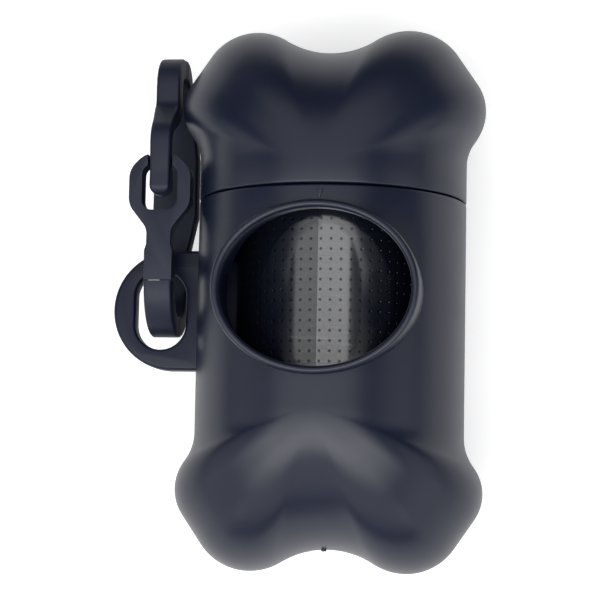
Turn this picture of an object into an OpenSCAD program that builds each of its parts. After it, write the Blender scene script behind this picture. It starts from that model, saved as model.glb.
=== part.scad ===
// Bone-shaped dispenser for rolls of dog waste bags.
// It lies on its back: +Z up is the front with the bag opening, +Y is the cap end.
// The origin is the middle of the footprint, on the table.

/* [Bone] */
// Overall length of the closed bone
bone_l = 85; // [82:0.5:92]
// Diameter of the round barrel
barrel_d = 42; // [41:0.5:44]
// How far each lobe stands out past the side of the barrel
lobe_out = 2.95; // [2:0.05:3.5]
// Depth of the notch between the two lobes of an end
notch_depth = 3.5; // [2.5:0.1:4.5]
// Distance between the crests of the two lobes of an end
crest_gap = 24.4; // [22:0.1:26]
// Radius of a lobe at its crest
crest_r = 9; // [8:0.1:9.5]
// Radius of a lobe at its side
side_r = 7; // [6.4:0.1:7.6]
// Distance from the crest of a lobe back to its widest point
side_back = 12.4; // [11:0.1:13]
// Radius of the waist between barrel and lobe
waist_r = 7.6; // [6:0.1:9]
// How much the lobes fill out towards the front and the back
fullness = 0.4; // [0:0.1:3]
// How gently the lobes fade into the round front and back
lobe_fade = 0.5; // [0.2:0.05:0.8]
// Depth of the flat along the back, on which the bone lies
back_flat = 0.4; // [0.3:0.05:0.6]
// Wall of the lobed ends
end_wall = 2.2; // [1.8:0.1:2.8]

/* [Cap joint] */
// Where the cap meets the barrel, from the middle of the bone
seam_y = 15; // [14:0.1:15.5]
// Length of the neck that the cap pushes onto
neck_l = 7.5; // [6:0.5:9]
// Wall of the neck
neck_wall = 1.3; // [1.1:0.1:1.5]
// Wall of the cap's skirt around the neck
skirt_wall = 1.4; // [1.2:0.1:1.6]
// Radial clearance between neck and skirt
neck_play = 0.1; // [0.06:0.01:0.1]

/* [Bag opening] */
// Clear width of the opening, across the barrel
open_w = 28.8; // [26:0.2:30]
// Clear height of the opening, along the barrel
open_h = 23.6; // [20:0.2:24]
// Middle of the opening, from the middle of the bone
open_y = -0.4; // [-2:0.1:0]
// Width of the raised rim around the opening
rim_w = 1.2; // [1:0.1:1.9]
// Height of the rim above the barrel
rim_h = 1.2; // [0.8:0.1:1.6]

/* [Lug] */
// How far the lug stands out past the side of the barrel
lug_out = 13.5; // [13:0.1:14.5]
// Height of the lug, along the barrel
lug_h = 19; // [18:0.1:20]
// Thickness of the lug
lug_t = 3.5; // [2.8:0.1:3.8]
// Middle of the lug, from the middle of the bone
lug_y = -1.9; // [-3:0.1:-1]
// Width of the oval eye in the lug
eye_w = 8.1; // [7.4:0.1:8.6]
// Height of the oval eye in the lug
eye_h = 12.4; // [12:0.1:12.8]
// Rim of the lug beside the eye
rim_side = 3.5; // [3.1:0.1:3.9]
// Chamfer around the eye
eye_soft = 0.5; // [0.3:0.1:0.8]

/* [Bag roll] */
// Diameter of a full roll
roll_d = 30; // [24:0.5:30.5]
// Width of the folded bags
film_w = 56; // [50:1:56]
// Length of the paper core
core_l = 58; // [52:1:59]
// Outer diameter of the paper core
core_d = 15; // [12:0.5:18]
// Wall of the paper core
core_wall = 1; // [0.6:0.1:1.5]
// Thickness of one turn of folded bags
turn_t = 0.4; // [0.2:0.1:0.6]
// Clearance under the roll, which lies in the barrel
roll_gap = 0.4; // [0.3:0.05:0.8]

/* [Clip] */
// How far the clip reaches from the lug's bar to its top
clip_top = 33.2; // [31:0.1:34]
// How far the clip's bend hangs below the lug's bar
clip_foot = 12; // [11.6:0.1:12.6]
// How far the clip stands off the middle of the eye
clip_side = 0.6; // [0:0.1:1]
// Depth of the clip's bend, front to back
clip_depth = 16; // [15.4:0.1:16.8]
// Width of the spine and the bend
spine_w = 4.4; // [3.8:0.1:4.6]
// Thickness of the spine and the bend
spine_t = 3.2; // [2.6:0.1:3.4]
// Depth of the arch at the top, front to back
arch_d = 11.3; // [10.8:0.1:11.8]
// Width of the nose
nose_w = 3.8; // [3.2:0.1:4.2]
// Height above the lug's bar at which the nose turns towards the hook
nose_at = 23.3; // [22.5:0.1:24]
// Width of the hook that holds the latch
hook_w = 3.4; // [3:0.1:3.8]
// Thickness of the hook's strap
hook_t = 2.2; // [1.8:0.1:2.6]
// Depth of the catch behind the strap
catch_t = 1.6; // [1.2:0.1:2]
// Height above the lug's bar at which the hook's strap starts
strap_at = 19.5; // [18.5:0.1:20]
// Height of the hook's tip above the lug's bar
hook_at = 9.6; // [9:0.1:10]
// Outer width of the latch ring
ring_w = 9.8; // [9.2:0.1:10.6]
// Outer height of the latch ring
ring_h = 10.6; // [10.2:0.1:11]
// Width of the hole in the latch ring
ring_eye_w = 5; // [4.4:0.1:5.4]
// Height of the hole in the latch ring
ring_eye_h = 6.2; // [6:0.1:6.6]
// How far the hole lies below the middle of the ring
ring_eye_drop = 0.5; // [0.2:0.1:0.8]
// Height of the ring's middle above the lug's bar
ring_at = 10.95; // [10.6:0.05:11.3]
// Thickness left of the ring where the hook's strap crosses it
ring_seat_t = 1.2; // [0.8:0.1:1.6]
// Width of the gate's shank
shank_w = 3.6; // [3:0.1:4]
// Height above the lug's bar at which the gate narrows to its shank
shank_at = 1; // [0:0.1:3]
// Clearance between hook and latch
latch_play = 0.3; // [0.2:0.05:0.4]

/* [Hidden] */
$fn = 64;
// The domed ends lie this far inside the barrel's own surface.
skin = 0.03;
barrel_r = barrel_d / 2;
half_l = bone_l / 2;
// The lug stands out further than the lobes, so the bone's axis is off the middle.
axis_x = (lug_out - lobe_out) / 2;
axis_z = barrel_r - back_flat;
// The domed end is drawn round a pole on the axis, this far from the middle of the bone.
pole_y = half_l - notch_depth - barrel_r;

// Outline of an end, measured from its pole
side_x = barrel_r + lobe_out - side_r;
side_y = half_l - side_back - pole_y;
crest_x = crest_gap / 2;
crest_y = half_l - crest_r - pole_y;
notch_rise = crest_y - barrel_r;
notch_r = (crest_x * crest_x + notch_rise * notch_rise - crest_r * crest_r)
    / (2 * (crest_r + notch_rise));
notch_y = barrel_r + notch_r;
waist_x = barrel_r + waist_r;
waist_y = side_y - sqrt(pow(side_r + waist_r, 2) - pow(waist_x - side_x, 2));
link_l = norm([crest_x - side_x, crest_y - side_y]);
link_a = atan2(crest_y - side_y, crest_x - side_x) - acos((side_r - crest_r) / link_l);

// Cap joint
skirt_r = barrel_r - skirt_wall;
neck_r = skirt_r - neck_play;
bore_r = neck_r - neck_wall;
neck_y = seam_y + neck_l;
seam_gap = 0.25;

// Opening
rim_top = barrel_r + rim_h;

// Roll
// The roll lies on the bore, or on the curved ends where it reaches past the poles.
roll_past = max(film_w / 2 - pole_y, 0);
roll_floor = min(bore_r, sqrt(pow(barrel_r - end_wall, 2) - roll_past * roll_past));
roll_z = axis_z - roll_floor + roll_d / 2 + roll_gap;

// Clip, in its own plane: v runs along it from the lug's bar, w runs out to the front
bar_h = (lug_h - eye_h) / 2;
bar_y = lug_y + lug_h / 2 - bar_h / 2;
eye_x = rim_side - barrel_r - lug_out + eye_w / 2;
clip_x = eye_x + clip_side;
spine_out = -clip_depth / 2;
clip_out = clip_depth / 2;
clip_in = clip_out - spine_t;
bend_r = clip_depth / 2;
bend_v = bend_r - clip_foot;
arch_r = arch_d / 2;
arch_w = spine_out + arch_r;
arch_v = clip_top - arch_r;
nose_out = spine_out + arch_d;
nose_in = nose_out - spine_t;
ring_eye_v = ring_at - ring_eye_drop;
ring_eye_top = ring_eye_v + ring_eye_h / 2;
ring_seat = clip_in + ring_seat_t;
strap_in = ring_seat + latch_play;
strap_out = strap_in + hook_t;
hook_in = strap_in - catch_t;
// The moulded hinge is a groove across the gate that leaves a thin web at the back.
hinge_web = 0.5;
hinge_gap = 0.05;
hinge_bevel = 22;
hinge_v = bend_v + 4 * hinge_gap;
hinge_w = clip_out - hinge_web;

// Distance from the pole to a circle, along the angle a
function to_circle(a, x, y, r, side) =
    let (b = x * cos(a) + y * sin(a))
    b + side * sqrt(b * b - x * x - y * y + r * r);

function part_way(x0, y0, x1, y1, t) = atan2(y0 + (y1 - y0) * t, x0 + (x1 - x0) * t);

// Angles at which one stretch of the outline gives way to the next, with a wall taken off
function turns(wall) = [
    atan2(waist_y, barrel_r - wall),
    part_way(side_x, side_y, waist_x, waist_y, (side_r - wall) / (side_r + waist_r)),
    atan2(side_y + (side_r - wall) * sin(link_a), side_x + (side_r - wall) * cos(link_a)),
    atan2(crest_y + (crest_r - wall) * sin(link_a), crest_x + (crest_r - wall) * cos(link_a)),
    part_way(crest_x, crest_y, 0, notch_y, (crest_r - wall) / (crest_r + notch_r))
];

// Distance from the pole to the outline of the end, with a wall taken off
function reach(a, wall, turn) =
    let (q = a > 90 ? 180 - a : a)
    q < turn[0] ? (barrel_r - wall) / cos(q)
    : q < turn[1] ? to_circle(q, waist_x, waist_y, waist_r + wall, -1)
    : q < turn[2] ? to_circle(q, side_x, side_y, side_r - wall, 1)
    : q < turn[3] ? link_reach(q, wall)
    : q < turn[4] ? to_circle(q, crest_x, crest_y, crest_r - wall, 1)
    : to_circle(q, 0, notch_y, notch_r + wall, -1);

// Straight stretch between the side and the crest of a lobe
function link_reach(q, wall) =
    (side_x * cos(link_a) + side_y * sin(link_a) + side_r - wall) / cos(q - link_a);

// One point of the domed end, on the outline angle a and the height angle h. Towards the
// front and the back the lobes fade into a sphere.
function dome_point(a, h, wall, turn) =
    let (half = barrel_r - wall, lobe = reach(a, wall, turn) - half)
    let (fade = (1 - exp(-pow(cos(h) / lobe_fade, 2))) / (1 - exp(-pow(1 / lobe_fade, 2))))
    let (power = 2 + fullness * lobe * fade / half)
    let (r = (half + lobe * fade) * pow(cos(h), 2 / power))
    [r * cos(a), r * sin(a), half * sin(h)];

// Solid end of the bone beyond its pole, with a wall taken off all round, sunk a little
// way into the barrel
module dome(wall, n, levels) {
    sink = 0.4;
    row = n + 3;
    rings = 2 * levels - 1;
    turn = turns(wall);
    points = concat(
        [for (k = [1:rings], i = [-1:n + 1])
            let (a = 180 * min(max(i, 0), n) / n)
            dome_point(a, 90 * (k - levels) / levels, wall, turn)
                - (i < 0 || i > n ? [0, sink, 0] : [0, 0, 0])],
        [[0, 0, wall - barrel_r], [0, 0, barrel_r - wall]],
        [[0, -sink, wall - barrel_r], [0, -sink, barrel_r - wall]]
    );
    south = rings * row;
    north = south + 1;
    top = (rings - 1) * row;
    walls = [for (k = [0:rings - 2], i = [0:row - 2]) each [
        [k * row + i, (k + 1) * row + i, (k + 1) * row + i + 1],
        [k * row + i, (k + 1) * row + i + 1, k * row + i + 1]
    ]];
    fans = [for (i = [1:n]) each [
        [south, i, i + 1],
        [north, top + i + 1, top + i]
    ]];
    keels = [
        [south + 2, 0, 1, south],
        [south, n + 1, n + 2, south + 2],
        [north + 2, north, top + 1, top],
        [north, north + 2, top + n + 2, top + n + 1]
    ];
    flat = concat(
        [south + 2],
        [for (k = [0:rings - 1]) k * row + n + 2],
        [north + 2],
        [for (k = [rings - 1:-1:0]) k * row]
    );
    translate([0, pole_y, 0])
        polyhedron(points, concat(walls, fans, keels, [flat]), convexity = 6);
}

module along_y(y0, y1, r) {
    translate([0, y0, 0])
        rotate([-90, 0, 0])
            cylinder(h = y1 - y0, r = r);
}

// Slab that takes the flat off the back of both mouldings
module below_back() {
    translate([-barrel_d, -half_l - 1, -barrel_d])
        cube([2 * barrel_d, bone_l + 2, barrel_d - axis_z]);
}

module at_axis() {
    translate([axis_x, 0, axis_z])
        children();
}

// Oval column standing up off the bone's axis
module oval(w, l, z0, z1) {
    translate([0, open_y, z0])
        scale([w / 2, l / 2, 1])
            cylinder(h = z1 - z0, r = 1);
}

// Lug: a flat plate with a full round rim, standing out of the side of the barrel
module lug() {
    rim = lug_t / 2;
    centre_x = lug_h / 2 - barrel_r - lug_out;
    root_x = 0.8 - barrel_r;
    straight = root_x - centre_x;
    translate([centre_x, lug_y, 0]) {
        translate([0, 0, -rim])
            cylinder(h = lug_t, r = lug_h / 2 - rim);
        rotate_extrude()
            translate([lug_h / 2 - rim, 0])
                circle(r = rim);
        translate([0, rim - lug_h / 2, -rim])
            cube([straight, lug_h - lug_t, lug_t]);
        for (s = [-1, 1])
            translate([0, s * (lug_h / 2 - rim), 0])
                rotate([0, 90, 0])
                    cylinder(h = straight, r = rim);
    }
}

// Oval eye through the lug, chamfered on both faces
module lug_eye() {
    end_r = eye_w / 2;
    end_y = (eye_h - eye_w) / 2;
    flare = eye_soft + 1;
    translate([eye_x, lug_y, 0]) {
        for (s = [-1, 1])
            translate([0, s * end_y, -lug_t])
                cylinder(h = 2 * lug_t, r = end_r);
        translate([-end_r, -end_y, -lug_t])
            cube([eye_w, 2 * end_y, 2 * lug_t]);
        for (f = [0, 1])
            mirror([0, 0, f])
                translate([0, 0, lug_t / 2 - eye_soft]) {
                    for (s = [-1, 1])
                        translate([0, s * end_y, 0])
                            cylinder(h = flare, r1 = end_r, r2 = end_r + flare);
                    translate([0, end_y, 0])
                        rotate([90, 0, 0])
                            linear_extrude(2 * end_y)
                                polygon([
                                    [-end_r, 0], [end_r, 0],
                                    [end_r + flare, flare], [-end_r - flare, flare]
                                ]);
                }
    }
}

// Barrel, lower lobes, neck, lug and the raised rim of the opening, moulded in one
module body() {
    lip = 0.5;
    color("#23252F")
        at_axis()
            difference() {
                union() {
                    along_y(-pole_y, seam_y, barrel_r);
                    along_y(-pole_y, neck_y, neck_r);
                    mirror([0, 1, 0])
                        dome(skin, 48, 8);
                    lug();
                    oval(open_w + 2 * rim_w, open_h + 2 * rim_w, 6, rim_top - lip);
                    translate([0, open_y, rim_top - lip])
                        scale([open_w / 2 + rim_w, open_h / 2 + rim_w, 1])
                            cylinder(h = lip, r1 = 1, r2 = 1 - 2 * lip / open_w);
                }
                intersection() {
                    along_y(-half_l, neck_y + 1, bore_r);
                    union() {
                        along_y(-pole_y, neck_y + 2, barrel_r);
                        mirror([0, 1, 0])
                            dome(end_wall, 32, 6);
                    }
                }
                oval(open_w, open_h, 0, rim_top + 1);
                lug_eye();
                below_back();
            }
}

// Screwless push-on cap with the upper lobes
module cap() {
    color("#23252F")
        at_axis()
            difference() {
                union() {
                    along_y(seam_y + seam_gap, pole_y, barrel_r);
                    dome(skin, 48, 8);
                }
                along_y(seam_y - 1, neck_y + 0.4, skirt_r);
                dome(end_wall, 32, 6);
                below_back();
            }
}

// Roll of folded bags; the outermost turn stops in a straight edge along the roll
module bag_roll() {
    film_edge = 93;
    bare = 42;
    color("#3B3A41")
        translate([axis_x, 0, roll_z])
            difference() {
                along_y(-film_w / 2, film_w / 2, roll_d / 2);
                along_y(-film_w, film_w, core_d / 2 + 0.02);
                rotate([90, 0, 0])
                    rotate([0, 0, film_edge])
                        translate([0, 0, -film_w])
                            rotate_extrude(angle = bare)
                                translate([roll_d / 2 - turn_t, 0])
                                    square([turn_t + 1, 2 * film_w]);
            }
}

// Paper tube in the middle of the roll
module roll_core() {
    color("#8B6B4A")
        translate([axis_x, 0, roll_z])
            difference() {
                along_y(-core_l / 2, core_l / 2, core_d / 2);
                along_y(-core_l, core_l, core_d / 2 - core_wall);
            }
}

module in_clip() {
    translate([axis_x + clip_x, bar_y, axis_z])
        children();
}

// Plate standing in the clip's own plane, drawn as [v, w] and centred on its width
module plate(width) {
    rotate([90, 0, 90])
        translate([0, 0, -width / 2])
            linear_extrude(width)
                children();
}

// Half ring that closes one end of the clip; way is -1 towards the bend, 1 towards the arch
module half_ring(r, t, way) {
    difference() {
        circle(r = r);
        if (t < r)
            circle(r = r - t);
        translate([way > 0 ? -2 * r : 0, -r - 1])
            square([2 * r, 2 * r + 2]);
    }
}

// Fixed part of the clip: spine, bend through the lug, arch, nose and hook
module clip_frame() {
    tip_r = (strap_out - hook_in) / 2;
    color("#1E2029")
        in_clip() {
            plate(spine_w) {
                translate([bend_v, spine_out])
                    square([arch_v - bend_v, spine_t]);
                translate([bend_v, 0])
                    half_ring(bend_r, spine_t, -1);
                translate([arch_v, arch_w])
                    half_ring(arch_r, spine_t, 1);
                translate([bend_v - 0.1, clip_in])
                    square([hinge_v - hinge_gap - bend_v + 0.1, spine_t]);
            }
            plate(nose_w)
                polygon([
                    [arch_v, nose_in],
                    [arch_v, nose_out],
                    [nose_at, nose_out],
                    [strap_at, strap_out],
                    [strap_at - 2, strap_out],
                    [strap_at - 2, strap_in],
                    [nose_at - 1.6, nose_in]
                ]);
            plate(hook_w) {
                translate([hook_at + tip_r, strap_in])
                    square([strap_at - 2 - hook_at - tip_r, strap_out - strap_in]);
                translate([hook_at + tip_r, hook_in])
                    square([ring_eye_top - latch_play - hook_at - tip_r, 2 * tip_r]);
                translate([hook_at + tip_r, hook_in + tip_r])
                    half_ring(tip_r, tip_r, -1);
            }
        }
}

// Outline of the ring: a block with its corners taken off
module ring_outline() {
    a = ring_w / 2;
    b = ring_h / 2;
    c = 2.6;
    polygon([
        [a - c, -b], [a, c - b], [a, b - c], [a - c, b],
        [c - a, b], [-a, b - c], [-a, c - b], [c - a, -b]
    ]);
}

// Springy gate of the clip: shank on a moulded hinge, ring for the hook
module clip_latch() {
    foot_v = hinge_v + hinge_gap;
    slant = (hinge_w - clip_in) * tan(hinge_bevel);
    eye_r = 1.2;
    foot_w = spine_w / 2;
    step = foot_w - shank_w / 2;
    color("#1E2029")
        in_clip()
            difference() {
                translate([0, 0, clip_in])
                    linear_extrude(spine_t)
                        difference() {
                            union() {
                                polygon([
                                    [-foot_w, foot_v], [foot_w, foot_v],
                                    [foot_w, shank_at], [shank_w / 2, shank_at + step],
                                    [shank_w / 2, ring_at], [-shank_w / 2, ring_at],
                                    [-shank_w / 2, shank_at + step], [-foot_w, shank_at]
                                ]);
                                translate([0, ring_at])
                                    ring_outline();
                            }
                            for (x = [-1, 1], y = [-1, 1])
                                translate([
                                    x * (ring_eye_w / 2 - eye_r),
                                    ring_eye_v + y * (ring_eye_h / 2 - eye_r)
                                ])
                                    circle(r = eye_r);
                            translate([-ring_eye_w / 2, ring_eye_v - ring_eye_h / 2 + eye_r])
                                square([ring_eye_w, ring_eye_h - 2 * eye_r]);
                            translate([eye_r - ring_eye_w / 2, ring_eye_v - ring_eye_h / 2])
                                square([ring_eye_w - 2 * eye_r, ring_eye_h]);
                        }
                plate(spine_w + 1)
                    polygon([
                        [foot_v - 1, clip_in - 1],
                        [foot_v + slant * (hinge_w - clip_in + 1) / (hinge_w - clip_in), clip_in - 1],
                        [foot_v, hinge_w],
                        [foot_v - 1, hinge_w]
                    ]);
                translate([-hook_w / 2 - latch_play, ring_at, ring_seat])
                    cube([hook_w + 2 * latch_play, ring_h, spine_t]);
            }
}

body();
cap();
bag_roll();
roll_core();
clip_frame();
clip_latch();
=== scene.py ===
import math

import bpy
from mathutils import Matrix, Vector


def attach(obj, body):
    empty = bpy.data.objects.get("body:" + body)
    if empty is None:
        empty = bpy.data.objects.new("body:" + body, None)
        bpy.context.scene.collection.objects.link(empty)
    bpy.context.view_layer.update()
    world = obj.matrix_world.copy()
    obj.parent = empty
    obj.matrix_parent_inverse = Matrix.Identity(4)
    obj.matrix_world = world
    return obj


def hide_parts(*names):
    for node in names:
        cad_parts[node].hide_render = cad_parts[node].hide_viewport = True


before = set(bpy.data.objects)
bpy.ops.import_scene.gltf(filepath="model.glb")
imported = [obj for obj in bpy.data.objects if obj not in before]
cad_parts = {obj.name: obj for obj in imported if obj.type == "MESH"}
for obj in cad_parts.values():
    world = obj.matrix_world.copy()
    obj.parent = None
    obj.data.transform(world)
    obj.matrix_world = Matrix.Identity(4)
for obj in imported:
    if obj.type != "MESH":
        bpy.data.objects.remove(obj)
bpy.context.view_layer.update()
bpy.context.scene.view_settings.view_transform = "Standard"

# Barrel. One polypropylene moulding: a round barrel with the two lower lobes of the bone
# at its foot, and a thinner neck at its top on which the cap is pushed. The bag opening
# is moulded through its front.
MM = 0.001
AXIS_X, AXIS_Z = 5.275, 20.6
BARREL_R, BORE_R, NECK_R = 21.0, 18.2, 19.5
POLE_Y, SEAM_Y, NECK_Y = 18.0, 15.0, 22.5
END_WALL = 2.2
OPEN_Y, OPEN_W, OPEN_H, RIM_W = -0.4, 28.8, 23.6, 1.2
OPEN_FROM, OPEN_TO = 4.0, 24.0
SIDE_X, SIDE_Y, SIDE_R = 16.95, 12.1, 7.0
CREST_X, CREST_Y, CREST_R = 12.2, 15.5, 9.0
WAIST_X, WAIST_R = 28.6, 7.6
FULLNESS, LOBE_FADE = 0.4, 0.5
END_STEPS, INNER_STEPS = 90, 14
WELD, TOUCH, TINY_R = 0.002 * MM, 0.0001 * MM, 0.01

WAIST_Y = SIDE_Y - math.sqrt((SIDE_R + WAIST_R) ** 2 - (WAIST_X - SIDE_X) ** 2)
NOTCH_RISE = CREST_Y - BARREL_R
NOTCH_R = (CREST_X ** 2 + NOTCH_RISE ** 2 - CREST_R ** 2) / (2 * (CREST_R + NOTCH_RISE))
NOTCH_Y = BARREL_R + NOTCH_R
LINK_ANGLE = (math.atan2(CREST_Y - SIDE_Y, CREST_X - SIDE_X)
              - math.acos((SIDE_R - CREST_R) / math.hypot(CREST_X - SIDE_X, CREST_Y - SIDE_Y)))


def to_circle(angle, x, y, radius, side):
    """Distance from the pole to a circle of the lobe's outline."""
    along = x * math.cos(angle) + y * math.sin(angle)
    return along + side * math.sqrt(max(0.0, along ** 2 - x * x - y * y + radius ** 2))


def lobe_outline(angle):
    """Distance from the pole to the edge of the bone, seen from the front."""
    q = min(angle, math.pi - angle)
    share = SIDE_R / (SIDE_R + WAIST_R)
    foot = math.atan2(WAIST_Y, BARREL_R)
    waist = math.atan2(SIDE_Y + (WAIST_Y - SIDE_Y) * share, SIDE_X + (WAIST_X - SIDE_X) * share)
    side = math.atan2(SIDE_Y + SIDE_R * math.sin(LINK_ANGLE),
                      SIDE_X + SIDE_R * math.cos(LINK_ANGLE))
    crest = math.atan2(CREST_Y + CREST_R * math.sin(LINK_ANGLE),
                       CREST_X + CREST_R * math.cos(LINK_ANGLE))
    share = CREST_R / (CREST_R + NOTCH_R)
    notch = math.atan2(CREST_Y + (NOTCH_Y - CREST_Y) * share, CREST_X * (1 - share))
    if q < foot:
        return BARREL_R / math.cos(q)
    if q < waist:
        return to_circle(q, WAIST_X, WAIST_Y, WAIST_R, -1)
    if q < side:
        return to_circle(q, SIDE_X, SIDE_Y, SIDE_R, 1)
    if q < crest:
        link = SIDE_X * math.cos(LINK_ANGLE) + SIDE_Y * math.sin(LINK_ANGLE) + SIDE_R
        return link / math.cos(q - LINK_ANGLE)
    if q < notch:
        return to_circle(q, CREST_X, CREST_Y, CREST_R, 1)
    return to_circle(q, 0, NOTCH_Y, NOTCH_R, -1)


def pick(piece):
    """Select the piece alone and make it the active one."""
    bpy.ops.object.select_all(action="DESELECT")
    piece.select_set(True)
    bpy.context.view_layer.objects.active = piece


def edit_all():
    """Open the active piece in edit mode with all of it selected."""
    bpy.ops.object.mode_set(mode="EDIT")
    bpy.ops.mesh.select_all(action="SELECT")


def place_mesh():
    """Move the active piece's place, turn and size into its mesh."""
    bpy.ops.object.transform_apply(location=True, rotation=True, scale=True)


def weld():
    """Merge the doubles of the mesh in edit mode and turn its faces outwards."""
    bpy.ops.mesh.select_all(action="SELECT")
    bpy.ops.mesh.remove_doubles(threshold=WELD)
    bpy.ops.mesh.normals_make_consistent(inside=False)


def from_points(name, points, faces):
    """New object made of points in metres."""
    mesh = bpy.data.meshes.new(name)
    mesh.from_pydata(points, [], faces)
    piece = bpy.data.objects.new(name, mesh)
    bpy.context.scene.collection.objects.link(piece)
    return piece


def turned(name, x, z, rings, vertices=180):
    """Pull a ring out along the bone; each station is (y, radius) in millimetres."""
    bpy.ops.object.select_all(action="DESELECT")
    y, r = rings[0]
    bpy.ops.mesh.primitive_circle_add(vertices=vertices, radius=r * MM,
                                      location=(x * MM, y * MM, z * MM),
                                      rotation=(math.pi / 2, 0, 0))
    piece = bpy.context.object
    piece.name = name
    place_mesh()
    edit_all()
    for y2, r2 in rings[1:]:
        bpy.ops.mesh.extrude_region_move(
            TRANSFORM_OT_translate={"value": (0, (y2 - y) * MM, 0)})
        if r2 != r:
            bpy.ops.transform.resize(value=(r2 / r, 1, r2 / r))
        y, r = y2, r2
    if r <= TINY_R:
        bpy.ops.mesh.merge(type="CENTER")
    bpy.ops.object.mode_set(mode="OBJECT")
    return piece


def add_bone_end(piece, way):
    """Close a turned piece with the two lobes: one skin from the back, over the end. Rows
    run up from the back, and the lobes fade out towards the back and the front."""
    points = []
    for k in range(END_STEPS + 1):
        height = math.radians(180 * k / END_STEPS - 90)
        for i in range(2 * END_STEPS + 1):
            angle = math.pi * i / (2 * END_STEPS)
            fade = 1 - math.exp(-(math.cos(height) / LOBE_FADE) ** 2)
            fade /= 1 - math.exp(-(1 / LOBE_FADE) ** 2)
            lobe = (lobe_outline(angle) - BARREL_R) * fade
            power = 2 + FULLNESS * lobe / BARREL_R
            r = (BARREL_R + lobe) * max(0.0, math.cos(height)) ** (2 / power)
            points.append(((AXIS_X + r * math.cos(angle)) * MM,
                           way * (POLE_Y + r * math.sin(angle)) * MM,
                           (AXIS_Z + BARREL_R * math.sin(height)) * MM))
    row = 2 * END_STEPS + 1
    faces = [(k * row + i, k * row + i + 1, (k + 1) * row + i + 1, (k + 1) * row + i)
             for k in range(END_STEPS) for i in range(row - 1)]
    end = from_points("bone_end", points, faces)
    pick(piece)
    end.select_set(True)
    bpy.ops.object.join()
    bpy.ops.object.mode_set(mode="EDIT")
    weld()
    # The back is flat where the bone lies on the floor of the frame, at z = 0.
    bpy.ops.mesh.bisect(plane_co=(0, 0, 0), plane_no=(0, 0, 1), use_fill=True,
                        clear_inner=True, threshold=TOUCH)
    bpy.ops.object.mode_set(mode="OBJECT")


def oval(name, width, length, z0, z1):
    """Upright oval column at the bag opening."""
    bpy.ops.object.select_all(action="DESELECT")
    bpy.ops.mesh.primitive_cylinder_add(
        vertices=192, radius=MM, depth=(z1 - z0) * MM,
        location=(AXIS_X * MM, OPEN_Y * MM, (AXIS_Z + (z0 + z1) / 2) * MM))
    piece = bpy.context.object
    piece.name = name
    edit_all()
    bpy.ops.transform.resize(value=(width / 2, length / 2, 1))
    bpy.ops.object.mode_set(mode="OBJECT")
    place_mesh()
    return piece


def cut(piece, tool):
    """Take the tool's volume out of the piece, and the tool away."""
    hole = piece.modifiers.new("cut", "BOOLEAN")
    hole.operation = "DIFFERENCE"
    hole.object = tool
    bpy.context.view_layer.objects.active = piece
    bpy.ops.object.modifier_apply(modifier="cut")
    bpy.data.objects.remove(tool)


def smooth(piece, degrees=40):
    """Shade the piece smooth, apart from edges sharper than the angle."""
    pick(piece)
    bpy.ops.object.shade_smooth_by_angle(angle=math.radians(degrees))


def inner_end(bore):
    """Stations of the round inside of a bone end, from its rim to its middle."""
    half = BARREL_R - END_WALL
    start = math.asin(bore / half)
    turns = [start * (1 - k / INNER_STEPS) for k in range(INNER_STEPS + 1)]
    return [(POLE_Y + half * math.cos(t), max(half * math.sin(t), TINY_R)) for t in turns]


# Each pair is how far a station lies back from an edge, and in from its side.
SHOULDER = ((0.3, 0.0), (0.15, 0.04), (0.05, 0.14), (0.0, 0.3))
MOUTH = ((0.6, 0.0), (0.3, 0.1), (0.08, 0.35), (0.0, 0.6))
barrel_rings = [(-POLE_Y, BARREL_R), (0.0, BARREL_R)]
barrel_rings += [(SEAM_Y - back, BARREL_R - inward) for back, inward in SHOULDER]
barrel_rings += [(SEAM_Y, NECK_R + 0.2), (SEAM_Y + 0.08, NECK_R + 0.06), (SEAM_Y + 0.25, NECK_R)]
barrel_rings += [(NECK_Y - back, NECK_R - inward) for back, inward in MOUTH]
barrel_rings += [(NECK_Y - back, BORE_R + inward) for back, inward in reversed(MOUTH[:3])]
barrel_rings += [(-y, r) for y, r in inner_end(BORE_R)]
barrel = turned("barrel", AXIS_X, AXIS_Z, barrel_rings)
add_bone_end(barrel, -1)
cut(barrel, oval("opening", OPEN_W + RIM_W, OPEN_H + RIM_W, OPEN_FROM, OPEN_TO))
smooth(barrel)


def srgb(hex_colour):
    """A hex colour as the shader's linear values."""
    parts = [int(hex_colour[i:i + 2], 16) / 255 for i in (1, 3, 5)]
    return [c / 12.92 if c <= 0.04045 else ((c + 0.055) / 1.055) ** 2.4 for c in parts] + [1.0]


def node(material, kind, links=None, **settings):
    """Add a node, set its own properties, then its sockets: a value or another output."""
    made = material.node_tree.nodes.new(kind)
    for key, value in settings.items():
        setattr(made, key, value)
    for socket, source in (links or {}).items():
        if isinstance(source, bpy.types.NodeSocket):
            material.node_tree.links.new(source, made.inputs[socket])
        else:
            made.inputs[socket].default_value = source
    return made


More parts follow.
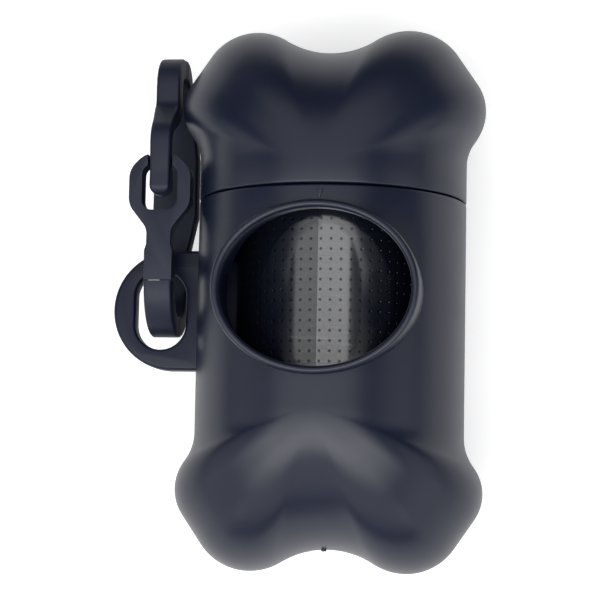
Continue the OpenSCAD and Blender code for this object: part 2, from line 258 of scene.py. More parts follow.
# Moulded polypropylene, coloured through in a blue black. The steel of the mould was spark
# eroded to a fine satin of about 0.1 mm, drawn here at 0.3 mm so that it shows. It gives
# broad soft highlights. Flow in the mould leaves the colour and gloss a little uneven, in
# clouds about 11 mm wide.
FLOW, SATIN = 11.1, 0.303
moulded = bpy.data.materials.new("Moulded polypropylene")
moulded.use_nodes = True
moulded_shader = moulded.node_tree.nodes["Principled BSDF"]
moulded_shader.inputs["IOR"].default_value = 1.49
place = node(moulded, "ShaderNodeTexCoord").outputs["Object"]
flow = node(moulded, "ShaderNodeTexNoise",
            {"Vector": place, "Scale": 1 / (FLOW * MM), "Detail": 3.0, "Roughness": 0.55})
tint = node(moulded, "ShaderNodeMix", {"Factor": flow.outputs["Fac"]}, data_type="RGBA")
tint.inputs[6].default_value = srgb("#0B1227")
tint.inputs[7].default_value = srgb("#10182D")
gloss = node(moulded, "ShaderNodeMapRange", {"Value": flow.outputs["Fac"], "From Min": 0.3,
                                             "From Max": 0.7, "To Min": 0.31, "To Max": 0.37})
grain = node(moulded, "ShaderNodeTexNoise",
             {"Vector": place, "Scale": 1 / (SATIN * MM), "Detail": 2.0, "Roughness": 0.6})
satin = node(moulded, "ShaderNodeBump",
             {"Height": grain.outputs["Fac"], "Strength": 0.25, "Distance": 0.03 * MM})
moulded.node_tree.links.new(tint.outputs[2], moulded_shader.inputs["Base Color"])
moulded.node_tree.links.new(gloss.outputs["Result"], moulded_shader.inputs["Roughness"])
moulded.node_tree.links.new(satin.outputs["Normal"], moulded_shader.inputs["Normal"])
barrel.data.materials.append(moulded)
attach(barrel, "shell")
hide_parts("body")

# Collar of the opening. It stands off the barrel as an oval tube with a rounded lip, moulded
# in one with the barrel, and the bags are torn off over it. Its inner wall flares a little
# towards its foot, which lies in the barrel's own wall.
RIM_TOP, RIM_FOOT, LIP_R, LIP_STEPS = 22.2, 8.0, 0.55, 12
BORE_CUT = 60.0
lip = [math.radians(180 * k / LIP_STEPS) for k in range(1, LIP_STEPS)]
collar_rings = [(RIM_W, RIM_FOOT), (RIM_W, RIM_TOP - LIP_R)]
collar_rings += [(RIM_W / 2 + LIP_R * math.cos(t), RIM_TOP - LIP_R + LIP_R * math.sin(t))
                 for t in lip]
collar_rings += [(0.0, RIM_TOP - LIP_R), (RIM_W, RIM_FOOT)]
bpy.ops.object.select_all(action="DESELECT")
bpy.ops.mesh.primitive_circle_add(vertices=192, radius=MM,
                                  location=(AXIS_X * MM, OPEN_Y * MM, (AXIS_Z + RIM_FOOT) * MM))
collar = bpy.context.object
collar.name = "collar"
edit_all()
wide, long, height = 1.0, 1.0, RIM_FOOT
for i, (out, z) in enumerate(collar_rings):
    if i > 0:
        bpy.ops.mesh.extrude_region_move(
            TRANSFORM_OT_translate={"value": (0, 0, (z - height) * MM)})
    bpy.ops.transform.resize(value=((OPEN_W / 2 + out) / wide, (OPEN_H / 2 + out) / long, 1))
    wide, long, height = OPEN_W / 2 + out, OPEN_H / 2 + out, z
weld()
bpy.ops.object.mode_set(mode="OBJECT")
place_mesh()
bpy.ops.object.select_all(action="DESELECT")
bpy.ops.mesh.primitive_cylinder_add(vertices=180, radius=BORE_R * MM, depth=BORE_CUT * MM,
                                    location=(AXIS_X * MM, 0, AXIS_Z * MM),
                                    rotation=(math.pi / 2, 0, 0))
cut(collar, bpy.context.object)
smooth(collar)
collar.data.materials.append(moulded)
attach(collar, "shell")
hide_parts("body")

# Lug. A flat plate with a round rim and an oval eye, moulded on the flank of the barrel.
# The clip hangs in the eye.
LUG_OUT, LUG_H, LUG_T, LUG_Y = 13.5, 19.0, 3.5, -1.9
LUG_SUNK, LUG_SOFT = 0.8, 0.6
EYE_W, EYE_H, EYE_WALL, EYE_SOFT = 8.1, 12.4, 3.5, 0.5
LUG_LEFT = AXIS_X - BARREL_R - LUG_OUT
EYE_X = LUG_LEFT + EYE_WALL + EYE_W / 2
NEAR = 0.01


def stretched_disc(name, x, y, radius, thickness, shift):
    """Round disc whose half is moved along, so that its sides run straight."""
    bpy.ops.object.select_all(action="DESELECT")
    bpy.ops.mesh.primitive_cylinder_add(vertices=128, radius=radius * MM,
                                        depth=thickness * MM,
                                        location=(x * MM, y * MM, AXIS_Z * MM))
    piece = bpy.context.object
    piece.name = name
    place_mesh()
    way = Vector(shift).normalized()
    middle = Vector((x, y, AXIS_Z)) * MM
    bpy.ops.object.mode_set(mode="EDIT")
    bpy.ops.mesh.select_all(action="DESELECT")
    bpy.ops.mesh.select_mode(type="VERT")
    bpy.ops.object.mode_set(mode="OBJECT")
    for vertex in piece.data.vertices:
        vertex.select = (vertex.co - middle).dot(way) > WELD
    bpy.ops.object.mode_set(mode="EDIT")
    bpy.ops.transform.translate(value=Vector(shift) * MM)
    bpy.ops.object.mode_set(mode="OBJECT")
    return piece


def round_rims(piece, test, offset, segments):
    """Bevel the sharp rims of a plate that the test picks by their place."""
    pick(piece)
    bpy.ops.object.mode_set(mode="EDIT")
    bpy.ops.mesh.select_mode(type="EDGE")
    bpy.ops.mesh.select_all(action="DESELECT")
    bpy.ops.object.mode_set(mode="OBJECT")
    corners = piece.data.vertices
    for edge in piece.data.edges:
        edge.select = test(*(corners[v].co / MM for v in edge.vertices))
    bpy.ops.object.mode_set(mode="EDIT")
    bpy.ops.mesh.bevel(offset=offset * MM, segments=segments)
    bpy.ops.object.mode_set(mode="OBJECT")


def flat_rim(a, b):
    """Whether the edge from a to b runs round the top or the bottom of the plate."""
    return abs(a.z - b.z) < NEAR and abs(abs(a.z - AXIS_Z) - LUG_T / 2) < NEAR


def eye_rim(a, b):
    """Whether the edge from a to b runs round the eye, on the top or the bottom."""
    return flat_rim(a, b) and all(abs(p.x - EYE_X) < EYE_W / 2 + NEAR
                                  and abs(p.y - LUG_Y) < EYE_H / 2 + NEAR for p in (a, b))


lug_x = LUG_LEFT + LUG_H / 2
lug = stretched_disc("lug", lug_x, LUG_Y, LUG_H / 2, LUG_T,
                     (AXIS_X - BARREL_R + LUG_SUNK - lug_x, 0, 0))
round_rims(lug, flat_rim, LUG_SOFT, 4)
eye = stretched_disc("eye", EYE_X, LUG_Y - (EYE_H - EYE_W) / 2, EYE_W / 2, 2 * LUG_T,
                     (0, EYE_H - EYE_W, 0))
cut(lug, eye)
round_rims(lug, eye_rim, EYE_SOFT, 4)
smooth(lug)

# The same polypropylene with its reflection turned down to 0.3, a shaded copy: painted shade that
# makes the lug's flat faces show darker than the barrel's round ones.
lug_painted_shade = moulded.copy()
lug_painted_shade.name = "Moulded polypropylene, matt"
lug_painted_shade.node_tree.nodes["Principled BSDF"].inputs["Specular IOR Level"].default_value = 0.3
lug.data.materials.append(lug_painted_shade)
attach(lug, "shell")
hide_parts("body")

# Arrow. A small raised triangle on the barrel under the seam, over the middle of the
# opening. It is moulded on and shows how the cap sits.
ARROW_X, ARROW_W, ARROW_H, ARROW_TOP = 0.5, 1.1, 1.5, 14.3
ARROW_T, ARROW_SOFT = 0.4, 0.06
bpy.ops.object.select_all(action="DESELECT")
bpy.ops.mesh.primitive_cylinder_add(
    vertices=3, radius=MM, depth=ARROW_T * MM, rotation=(0, 0, math.pi),
    location=((AXIS_X + ARROW_X) * MM, (ARROW_TOP - ARROW_H / 3) * MM,
              (AXIS_Z + BARREL_R + 0.03) * MM))
arrow = bpy.context.object
arrow.name = "arrow"
bpy.ops.object.transform_apply(location=False, rotation=True, scale=True)
edit_all()
bpy.ops.transform.resize(value=(ARROW_W / math.sqrt(3), ARROW_H / 1.5, 1))
bpy.ops.mesh.bevel(offset=ARROW_SOFT * MM, segments=2)
bpy.ops.object.mode_set(mode="OBJECT")
place_mesh()
smooth(arrow)
arrow.data.materials.append(moulded)
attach(arrow, "shell")
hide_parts("body")

# Gate mark. A short stub of the barrel's own plastic in the lower notch. The plastic was
# injected there, and the stub is what is left where its sprue was broken off.
STUB_X, STUB_Y, STUB_Z, STUB_R, STUB_L, STUB_SOFT = -0.2, -38.75, 2.5, 0.4, 1.0, 0.12
bpy.ops.object.select_all(action="DESELECT")
bpy.ops.mesh.primitive_cylinder_add(
    vertices=32, radius=STUB_R * MM, depth=STUB_L * MM, rotation=(math.pi / 2, 0, 0),
    location=((AXIS_X + STUB_X) * MM, STUB_Y * MM, (AXIS_Z + STUB_Z) * MM))
stub = bpy.context.object
stub.name = "gate_mark"
place_mesh()
edit_all()
bpy.ops.mesh.bevel(offset=STUB_SOFT * MM, segments=3)
bpy.ops.object.mode_set(mode="OBJECT")
smooth(stub)
stub.data.materials.append(moulded)
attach(stub, "shell")
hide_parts("body")

# Cap. The upper lobes of the bone, moulded hollow with a thin skirt that slips over the
# neck. Its lower edge is a little rounded and leaves a hairline above the barrel.
CAP_Y, SKIRT_R, CAP_BORE_R = 15.25, 19.6, 18.15
cap_rings = [(POLE_Y, BARREL_R), (CAP_Y + 0.35, BARREL_R), (CAP_Y + 0.17, BARREL_R - 0.04),
             (CAP_Y + 0.05, BARREL_R - 0.13), (CAP_Y, BARREL_R - 0.3), (CAP_Y, SKIRT_R + 0.3),
             (CAP_Y + 0.05, SKIRT_R + 0.1), (CAP_Y + 0.2, SKIRT_R), (NECK_Y + 0.4, SKIRT_R)]
cap_rings += inner_end(CAP_BORE_R)
cap = turned("cap_shell", AXIS_X, AXIS_Z, cap_rings)
add_bone_end(cap, 1)
smooth(cap)
cap.data.materials.append(moulded)
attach(cap, "lid")
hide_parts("cap")

# Roll of bags. Thin polyethylene tubing, pressed with a grid of small dots so that it
# opens easily, is folded in two and wound tightly. The last turn ends in a straight edge.
ROLL_R, ROLL_Z, FILM_W, TURN_T, CORE_R = 15.0, 20.08, 56.0, 0.15, 7.5
ROLL_BORE_R, ROLL_SOFT, ROLL_STEPS = CORE_R + 0.02, 0.3, 40
roll_rings = [(-FILM_W / 2, ROLL_BORE_R), (-FILM_W / 2, ROLL_R - ROLL_SOFT),
              (-FILM_W / 2 + 0.1, ROLL_R - 0.1)]
roll_rings += [(-FILM_W / 2 + ROLL_SOFT + (FILM_W - 2 * ROLL_SOFT) * k / ROLL_STEPS, ROLL_R)
               for k in range(ROLL_STEPS + 1)]
roll_rings += [(FILM_W / 2 - 0.1, ROLL_R - 0.1), (FILM_W / 2, ROLL_R - ROLL_SOFT),
               (FILM_W / 2, ROLL_BORE_R), (-FILM_W / 2, ROLL_BORE_R)]
roll = turned("roll_of_bags", AXIS_X, ROLL_Z, roll_rings, vertices=240)

# Beside the straight edge the roll is lower by one folded film, and it grows back to its
# full radius over the next 150 degrees. The step is drawn about twice as high as such
# film would make it, so that it shows.
EDGE_AT, LOW_TO, GROW = 1.4, 3.0, 150.0
for vertex in roll.data.vertices:
    x, z = vertex.co.x / MM - AXIS_X, vertex.co.z / MM - ROLL_Z
    radius = math.hypot(x, z)
    turn = math.degrees(math.atan2(-x, z)) % 360
    if radius > ROLL_R - 1 and turn > EDGE_AT:
        sunk = TURN_T * max(0.0, 1 - max(turn - LOW_TO, 0) / GROW)
        scale = (radius - sunk) / radius
        vertex.co.x = (AXIS_X + x * scale) * MM
        vertex.co.z = (ROLL_Z + z * scale) * MM
pick(roll)
bpy.ops.object.mode_set(mode="EDIT")
weld()
bpy.ops.object.mode_set(mode="OBJECT")
smooth(roll, 25)

# Polyethylene film, dark grey and thin. Its glossy films lie on one another and each of
# them mirrors, which the coat with its high IOR stands for. The dots are pressed in 1.55 mm
# apart, about 0.4 mm wide, and throw the light aside; their reflection is turned down there,
# painted shade that makes them show dark. Slight creases 1.4 mm apart run across the roll. The
# turn under the loose end reflects half as much as the loose end: painted shade that dims the
# roll on that side of the edge.
DOT_PITCH, CREASE_WIDE, CREASE_LONG = 1.55, 1.43, 16.7
film = bpy.data.materials.new("Embossed polyethylene film")
film.use_nodes = True
film_shader = film.node_tree.nodes["Principled BSDF"]
film_shader.inputs["Base Color"].default_value = srgb("#11151F")
film_shader.inputs["IOR"].default_value = 1.51
film_shader.inputs["Coat IOR"].default_value = 2.5
film_shader.inputs["Coat Roughness"].default_value = 0.14
place = node(film, "ShaderNodeTexCoord").outputs["Object"]
centred = node(film, "ShaderNodeMapping", {
    "Vector": place, "Location": (-AXIS_X * MM, 0, -ROLL_Z * MM)})
axes = node(film, "ShaderNodeSeparateXYZ", {"Vector": centred.outputs["Vector"]})
around = node(film, "ShaderNodeMath", {0: axes.outputs["X"], 1: axes.outputs["Z"]},
              operation="ARCTAN2")


def from_dot(position, per_unit):
    """Distance to the nearest row of dots, in half pitches."""
    counted = node(film, "ShaderNodeMath", {0: position, 1: per_unit}, operation="MULTIPLY")
    waved = node(film, "ShaderNodeMath", {0: counted.outputs[0], 1: 1.0}, operation="PINGPONG")
    return waved.outputs[0]


row = from_dot(axes.outputs["Y"], 2 / (DOT_PITCH * MM))
column = from_dot(around.outputs[0], 2 * ROLL_R / DOT_PITCH)
spot = node(film, "ShaderNodeCombineXYZ", {"X": row, "Y": column})
away = node(film, "ShaderNodeVectorMath", {0: spot.outputs[0]}, operation="LENGTH")
dimple = node(film, "ShaderNodeMapRange", {"Value": away.outputs["Value"], "From Min": 0.1,
                                           "From Max": 0.36, "To Min": 0.0, "To Max": 1.0},
              interpolation_type="SMOOTHSTEP")
creased = node(film, "ShaderNodeMapping", {
    "Vector": place,
    "Scale": (1 / (CREASE_LONG * MM), 1 / (CREASE_WIDE * MM), 1 / (CREASE_LONG * MM))})
crease = node(film, "ShaderNodeTexNoise", {"Vector": creased.outputs["Vector"], "Scale": 1.0,
                                           "Detail": 3.0, "Roughness": 0.5})
folds = node(film, "ShaderNodeBump", {"Height": crease.outputs["Fac"], "Strength": 0.3,
                                      "Distance": 0.3 * MM})
pressed = node(film, "ShaderNodeBump", {"Height": dimple.outputs["Result"], "Strength": 1.0,
                                        "Distance": 0.4 * MM, "Normal": folds.outputs["Normal"]})
sheen = node(film, "ShaderNodeMapRange", {"Value": crease.outputs["Fac"], "From Min": 0.3,
                                          "From Max": 0.7, "To Min": 0.13, "To Max": 0.19})
# Painted shade: beside the loose end, the turn under it reflects only half as much.
unshaded_side = node(film, "ShaderNodeMath", {0: around.outputs[0], 1: -0.03},
                  operation="GREATER_THAN")
faces = node(film, "ShaderNodeMapRange", {"Value": unshaded_side.outputs[0], "To Min": 0.5})
# Painted shade in the dots: their reflection drops to 0.35 of the flat film's.
dot_painted_shade = node(film, "ShaderNodeMapRange", {"Value": dimple.outputs["Result"], "To Min": 0.35})
reflection_and_painted_shade = node(film, "ShaderNodeMath", {0: faces.outputs["Result"], 1: dot_painted_shade.outputs["Result"]},
             operation="MULTIPLY")
film.node_tree.links.new(reflection_and_painted_shade.outputs[0], film_shader.inputs["Specular IOR Level"])
film.node_tree.links.new(reflection_and_painted_shade.outputs[0], film_shader.inputs["Coat Weight"])
film.node_tree.links.new(sheen.outputs["Result"], film_shader.inputs["Roughness"])
film.node_tree.links.new(pressed.outputs["Normal"], film_shader.inputs["Normal"])
roll.data.materials.append(film)

# Ends of the roll: the same film on edge. Its turns are too fine to show, and are drawn as
# rings 0.4 mm apart. They make the ends dull.
RING_PITCH = 0.4
edges = bpy.data.materials.new("Edges of wound film")
edges.use_nodes = True
edges_shader = edges.node_tree.nodes["Principled BSDF"]
edges_shader.inputs["Base Color"].default_value = srgb("#17171C")
edges_shader.inputs["Roughness"].default_value = 0.5
place = node(edges, "ShaderNodeTexCoord").outputs["Object"]
centred = node(edges, "ShaderNodeMapping", {
    "Vector": place, "Location": (-AXIS_X * MM, 0, -ROLL_Z * MM), "Scale": (1, 0, 1)})
from_axis = node(edges, "ShaderNodeVectorMath", {0: centred.outputs["Vector"]},
                 operation="LENGTH")
counted = node(edges, "ShaderNodeMath",
               {0: from_axis.outputs["Value"], 1: 2 / (RING_PITCH * MM)}, operation="MULTIPLY")
ridge = node(edges, "ShaderNodeMath", {0: counted.outputs[0], 1: 1.0}, operation="PINGPONG")
wound = node(edges, "ShaderNodeBump", {"Height": ridge.outputs[0], "Strength": 0.6,
                                       "Distance": 0.1 * MM})
edges.node_tree.links.new(wound.outputs["Normal"], edges_shader.inputs["Normal"])
roll.data.materials.append(edges)
for face in roll.data.polygons:
    face.material_index = 1 if abs(face.normal.y) > 0.9 else 0
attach(roll, "roll")
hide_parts("bag_roll")

# Core of the roll. A plain tube of grey-brown paper, wound and glued in a spiral. The film
# is wound on it, and it is a little longer than the roll.
CORE_L, CORE_WALL, CORE_SOFT = 58.0, 1.0, 0.1
core = turned("paper_core", AXIS_X, ROLL_Z,
              [(-CORE_L / 2, CORE_R - CORE_WALL), (-CORE_L / 2, CORE_R - CORE_SOFT),
               (-CORE_L / 2 + CORE_SOFT, CORE_R), (CORE_L / 2 - CORE_SOFT, CORE_R),
               (CORE_L / 2, CORE_R - CORE_SOFT), (CORE_L / 2, CORE_R - CORE_WALL),
               (-CORE_L / 2, CORE_R - CORE_WALL)], vertices=96)
bpy.ops.object.mode_set(mode="EDIT")
weld()
bpy.ops.object.mode_set(mode="OBJECT")
smooth(core)

# Spiral-wound paper board, uncoated: fibres about 1 mm long and a matt, mottled brown.
FIBRE = 1.0
paper = bpy.data.materials.new("Spiral-wound paper board")
paper.use_nodes = True
paper_shader = paper.node_tree.nodes["Principled BSDF"]
paper_shader.inputs["Roughness"].default_value = 0.85
place = node(paper, "ShaderNodeTexCoord").outputs["Object"]
fibres = node(paper, "ShaderNodeTexNoise",
              {"Vector": place, "Scale": 1 / (FIBRE * MM), "Detail": 4.0, "Roughness": 0.65})
board = node(paper, "ShaderNodeMix", {"Factor": fibres.outputs["Fac"]}, data_type="RGBA")
board.inputs[6].default_value = srgb("#7E6044")
board.inputs[7].default_value = srgb("#A3835F")
paper.node_tree.links.new(board.outputs[2], paper_shader.inputs["Base Color"])
fuzz = node(paper, "ShaderNodeBump",
            {"Height": fibres.outputs["Fac"], "Strength": 0.4, "Distance": 0.1 * MM})
paper.node_tree.links.new(fuzz.outputs["Normal"], paper_shader.inputs["Normal"])
core.data.materials.append(paper)
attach(core, "roll")
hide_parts("roll_core")

# Clip. One nylon moulding hung in the lug: a spine with a bend at its foot and an arch with
# a hooked nose at its top, and a gate whose ring snaps behind the hook. The real gate bends in
# a thin moulded groove; here it is a separate piece, 0.1 mm off the end of the bend. The spine is
# widest beside the ring, and all edges are soft.
CLIP_X, BAR_Y = EYE_X + 0.6, 5.95
CLIP_OUT, CLIP_IN, HINGE_Y, HINGE_GAP = 8.0, 4.8, -3.8, 0.05
NYLON_EDGE, TIP_SOFT = 0.45, 1.5


def rounded(corners, steps=8):
    """Round the corners of a path. A corner is (x, y, radius) and what the path carries."""
    path = [(Vector(corners[0][:2]), corners[0][3:])]
    for before, corner, after in zip(corners, corners[1:], corners[2:]):
        at = Vector(corner[:2])
        came = (at - Vector(before[:2])).normalized()
        leaves = (Vector(after[:2]) - at).normalized()
        turn = math.atan2(came.x * leaves.y - came.y * leaves.x, came.dot(leaves))
        start = at - came * corner[2] * math.tan(abs(turn) / 2)
        centre = start + Vector((-came.y, came.x)) * math.copysign(corner[2], turn)
        count = steps if corner[2] > 0 and abs(turn) > 0.01 else 0
        path += [(centre + Matrix.Rotation(turn * k / max(count, 1), 2) @ (start - centre),
                  corner[3:]) for k in range(count + 1)]
    path.append((Vector(corners[-1][:2]), corners[-1][3:]))
    return path


def soft_section(width, thickness):
    """Cross-section of the bar: 20 points round a rectangle with rounded corners."""
    edge = min(NYLON_EDGE, width / 3, thickness / 3)
    section = []
    for quarter, (x_way, out_way) in enumerate(((1, 1), (-1, 1), (-1, -1), (1, -1))):
        for k in range(5):
            t = math.radians(90 * quarter + 22.5 * k)
            section.append((x_way * (width / 2 - edge) + edge * math.cos(t),
                            out_way * (thickness / 2 - edge) + edge * math.sin(t)))
    return section


def bar(name, path):
    """Soft-edged bar along a path in the clip's own plane. The path carries the bar's width
    and thickness, and its last end is rounded off."""
    stops = [(at, *size) for at, size in path]
    way = (stops[-1][0] - stops[-2][0]).normalized()
    tip, width, thickness = stops.pop()
    for k in range(7):
        t = math.radians(14 * k)
        inset = 2 * TIP_SOFT * (1 - math.cos(t))
        stops.append((tip - way * TIP_SOFT * (1 - math.sin(t)), width - inset, thickness - inset))
    points = []
    for i, (at, width, thickness) in enumerate(stops):
        along = stops[min(i + 1, len(stops) - 1)][0] - stops[max(i - 1, 0)][0]
        across = Vector((-along.y, along.x)).normalized()
        points += [((CLIP_X + x) * MM, (BAR_Y + at.x + across.x * out) * MM,
                    (AXIS_Z + at.y + across.y * out) * MM)
                   for x, out in soft_section(width, thickness)]
    last = 20 * (len(stops) - 1)
    faces = [(i + k, i + (k + 1) % 20, i + 20 + (k + 1) % 20, i + 20 + k)
             for i in range(0, last, 20) for k in range(20)]
    faces += [tuple(range(20)), tuple(range(last, last + 20))]
    piece = from_points(name, points, faces)
    pick(piece)
    edit_all()
    bpy.ops.mesh.normals_make_consistent(inside=False)
    bpy.ops.object.mode_set(mode="OBJECT")
    smooth(piece, 35)
    return piece


# Corners of the bar's middle line: along the bone, towards the front, radius, width,
# thickness. It runs from the hinge through the bend, up the spine and over to the nose.
clip = bar("clip", rounded([
    (HINGE_Y - HINGE_GAP, 6.4, 0, 4.4, 3.2),
    (-10.4, 6.4, 6.3, 4.4, 3.2),
    (-10.4, -6.4, 6.3, 4.5, 3.2),
    (2.5, -6.4, 0, 4.8, 3.2),
    (8.0, -6.4, 0, 7.2, 3.2),
    (17.5, -6.4, 0, 7.2, 3.2),
    (26.0, -6.4, 0, 5.0, 3.2),
    (31.6, -6.4, 3.6, 4.2, 3.2),
    (31.6, 1.7, 3.6, 3.8, 3.2),
    (24.0, 1.7, 3.5, 3.8, 3.2),
    (19.8, 7.4, 3.5, 3.3, 2.3),
    (14.0, 7.4, 0, 3.2, 2.2),
    (13.0, 6.6, 0, 3.2, 3.6),
    (9.6, 6.6, 0, 3.2, 3.8)]))


def plate(name, outline, z0, z1):
    """Flat plate lying in the clip's front leg; its outline is (across, along, radius)."""
    ring = rounded([outline[-1]] + outline + [outline[0]])[1:-1]
    piece = from_points(name, [((CLIP_X + at.x) * MM, (BAR_Y + at.y) * MM, (AXIS_Z + z0) * MM)
                               for at, _ in ring], [tuple(range(len(ring)))])
    pick(piece)
    edit_all()
    bpy.ops.mesh.extrude_region_move(TRANSFORM_OT_translate={"value": (0, 0, (z1 - z0) * MM)})
    bpy.ops.mesh.select_all(action="SELECT")
    bpy.ops.mesh.normals_make_consistent(inside=False)
    bpy.ops.object.mode_set(mode="OBJECT")
    return piece


# Gate: a shank and a ring, whose eye passes over the hook. The seat is sunk into the top
# half of the ring, and the foot of the shank is cut at a slant so that it clears the bend.
RING_Y, RING_W, RING_H, RING_CUT, RING_EYE_W, RING_EYE_H = 10.85, 4.85, 5.3, 2.5, 2.8, 3.6
RING_R, RING_EYE_R, SEAT_W, SEAT_Z, SEAT_END = 3.4, 1.6, 1.95, 6.0, 20.0
SLANT, SLANT_Z, GATE_SOFT = math.radians(22), 7.5, 0.4
right_side = [(2.2, HINGE_Y + HINGE_GAP, 0), (2.2, 0.9, 1.5), (1.9, 1.8, 1.5), (1.9, 4.3, 2.5),
              (RING_W, RING_Y - RING_H + RING_CUT, RING_R),
              (RING_W, RING_Y + RING_H - RING_CUT, RING_R),
              (RING_W - RING_CUT, RING_Y + RING_H, RING_R)]
gate = plate("clip_gate", right_side + [(-x, y, r) for x, y, r in reversed(right_side)],
             CLIP_IN, CLIP_OUT)
ring_eye = [(x * RING_EYE_W, RING_Y + y * RING_EYE_H, RING_EYE_R)
            for x, y in ((1, -1), (1, 1), (-1, 1), (-1, -1))]
cut(gate, plate("ring_eye", ring_eye, CLIP_IN - 1, CLIP_OUT + 1))
hook_seat = [(SEAT_W, RING_Y, 0), (SEAT_W, SEAT_END, 0), (-SEAT_W, SEAT_END, 0),
             (-SEAT_W, RING_Y, 0)]
cut(gate, plate("hook_seat", hook_seat, SEAT_Z, CLIP_OUT + 1))
bpy.context.view_layer.objects.active = gate
edit_all()
bpy.ops.mesh.bisect(plane_co=(0, (BAR_Y + HINGE_Y + HINGE_GAP) * MM, (AXIS_Z + SLANT_Z) * MM),
                    plane_no=(0, math.cos(SLANT), math.sin(SLANT)),
                    use_fill=True, clear_inner=True)
bpy.ops.object.mode_set(mode="OBJECT")
rounding = gate.modifiers.new("rounding", "BEVEL")
rounding.width = GATE_SOFT * MM
rounding.segments = 3
rounding.limit_method = "ANGLE"
rounding.angle_limit = math.radians(40)
bpy.ops.object.modifier_apply(modifier="rounding")
smooth(gate)

# Moulded nylon, coloured through in a blue black. A finely etched mould leaves it duller than the
# barrel, with broad weak highlights and faint flow marks about 4 mm long.
FLOW_MARK = 3.85
nylon = bpy.data.materials.new("Moulded nylon")
nylon.use_nodes = True
nylon_shader = nylon.node_tree.nodes["Principled BSDF"]
nylon_shader.inputs["IOR"].default_value = 1.53
nylon_shader.inputs["Specular IOR Level"].default_value = 0.36
place = node(nylon, "ShaderNodeTexCoord").outputs["Object"]
marks = node(nylon, "ShaderNodeTexNoise",
             {"Vector": place, "Scale": 1 / (FLOW_MARK * MM), "Detail": 3.0, "Roughness": 0.5})
black = node(nylon, "ShaderNodeMix", {"Factor": marks.outputs["Fac"]}, data_type="RGBA")
black.inputs[6].default_value = srgb("#0C1327")
black.inputs[7].default_value = srgb("#121A2F")
shine = node(nylon, "ShaderNodeMapRange", {"Value": marks.outputs["Fac"], "From Min": 0.3,
                                           "From Max": 0.7, "To Min": 0.45, "To Max": 0.52})
ripple = node(nylon, "ShaderNodeBump",
              {"Height": marks.outputs["Fac"], "Strength": 0.2, "Distance": 0.1 * MM})
nylon.node_tree.links.new(black.outputs[2], nylon_shader.inputs["Base Color"])
nylon.node_tree.links.new(shine.outputs["Result"], nylon_shader.inputs["Roughness"])
nylon.node_tree.links.new(ripple.outputs["Normal"], nylon_shader.inputs["Normal"])
for piece, body, source in ((clip, "clip", "clip_frame"), (gate, "latch", "clip_latch")):
    piece.data.materials.append(nylon)
    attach(piece, body)
    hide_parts(source)

# Floor: a sheet of white card under the object. It throws light back at the flanks, and
# glows a little to the camera alone, so that it shows white.
FLOOR_W, FLOOR_Z, FLOOR_GLOW = 3.0, -0.2, 0.4
bpy.ops.object.select_all(action="DESELECT")
bpy.ops.mesh.primitive_plane_add(size=FLOOR_W, location=(0, 0, FLOOR_Z * MM))
floor = bpy.context.object
floor.name = "floor"
card = bpy.data.materials.new("White card")
card.use_nodes = True
card_shader = card.node_tree.nodes["Principled BSDF"]
card_shader.inputs["Base Color"].default_value = srgb("#F7F7F8")
card_shader.inputs["Roughness"].default_value = 0.9
card_shader.inputs["Emission Color"].default_value = (1, 1, 1, 1)
seen = node(card, "ShaderNodeLightPath").outputs["Is Camera Ray"]
lift = node(card, "ShaderNodeMath", {0: seen, 1: FLOOR_GLOW}, operation="MULTIPLY")
card.node_tree.links.new(lift.outputs[0], card_shader.inputs["Emission Strength"])
floor.data.materials.append(card)

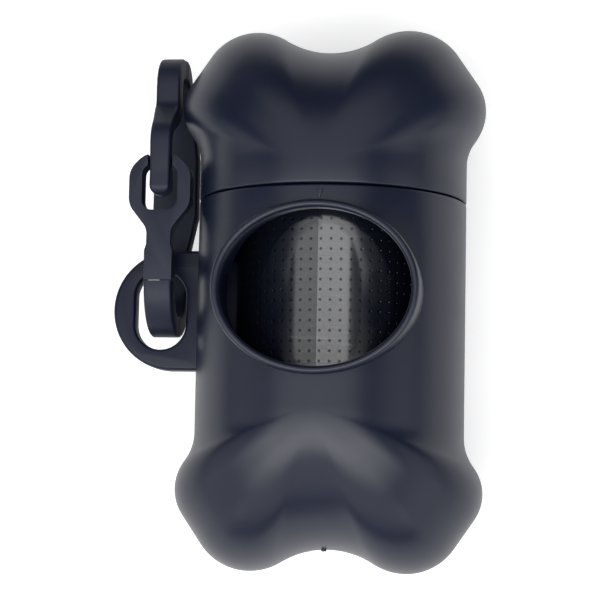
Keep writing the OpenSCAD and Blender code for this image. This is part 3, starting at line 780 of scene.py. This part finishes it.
# Light: three wide softboxes above the head, the middle and the foot of the bone, one low
# beyond its foot, and four small dim ones round its sides. Each lamp has its place and its
# size in metres and its power in watts, and faces the middle of the bone.
LAMPS = (("overhead", (-0.06, -0.09, 0.72), (1.05, 0.2), 1.4),
         ("head", (-0.06, 0.36, 0.71), (1.05, 0.66), 1.9),
         ("foot", (-0.04, -0.28, 0.64), (1.0, 0.22), 3.2),
         ("low", (0.0, -0.62, 0.4), (1.2, 0.4), 1.6),
         ("left", (-0.73, -0.08, 0.34), (0.5, 0.5), 0.6),
         ("right", (0.73, -0.08, 0.34), (0.5, 0.5), 0.7),
         ("left_foot", (-0.56, -0.42, 0.22), (0.4, 0.4), 0.4),
         ("right_foot", (0.56, -0.42, 0.22), (0.4, 0.4), 0.5))
MIDDLE = Vector((0, 0, 0.02))
for name, place, size, watts in LAMPS:
    light = bpy.data.lights.new(name, "AREA")
    light.shape = "RECTANGLE"
    light.size, light.size_y = size
    light.energy = watts
    lamp = bpy.data.objects.new(name, light)
    outwards = (Vector(place) - MIDDLE).normalized()
    side = Vector((0, 1, 0)).cross(outwards).normalized()
    facing = Matrix((side, outwards.cross(side), outwards)).transposed().to_4x4()
    lamp.matrix_world = Matrix.Translation(place) @ facing
    bpy.context.scene.collection.objects.link(lamp)

# Room: its walls are white to the camera and dim to the object.
WALLS_LIT, WALLS_SEEN = 0.06, 1.0
world = bpy.data.worlds.new("studio")
world.use_nodes = True
backdrop = world.node_tree.nodes["Background"].inputs
backdrop["Color"].default_value = (1, 1, 1, 1)
seen = node(world, "ShaderNodeLightPath").outputs["Is Camera Ray"]
walls = node(world, "ShaderNodeMapRange",
             {"Value": seen, "To Min": WALLS_LIT, "To Max": WALLS_SEEN})
world.node_tree.links.new(walls.outputs["Result"], backdrop["Strength"])
bpy.context.scene.world = world

# Camera: a long lens over the front of the dispenser, a little towards its right and foot.
CAMERA_FAR, TARGET_X = 346.0, 0.3
PIXELS_PER_METRE, PICTURE_SIDE, SENSOR = 6353, 600, 36
SIDE_TILT, FOOT_TILT, ROLL = math.radians(7.7), math.radians(6.5), math.radians(1.1)
back = Vector((math.tan(SIDE_TILT), -math.tan(FOOT_TILT), 1)).normalized()
right = Vector((0, 1, 0)).cross(back).normalized()
up = back.cross(right)
turned_right = right * math.cos(ROLL) + up * math.sin(ROLL)
turned_up = up * math.cos(ROLL) - right * math.sin(ROLL)
camera_data = bpy.data.cameras.new("camera")
camera_data.sensor_width = SENSOR
camera_data.lens = SENSOR * CAMERA_FAR * MM * PIXELS_PER_METRE / PICTURE_SIDE
camera_data.clip_start = 0.01
camera = bpy.data.objects.new("camera", camera_data)
facing = Matrix((turned_right, turned_up, back)).transposed().to_4x4()
target = Vector((TARGET_X, 0.0, AXIS_Z))
camera.matrix_world = Matrix.Translation((target + back * CAMERA_FAR) * MM) @ facing
bpy.context.scene.collection.objects.link(camera)
bpy.context.scene.camera = camera
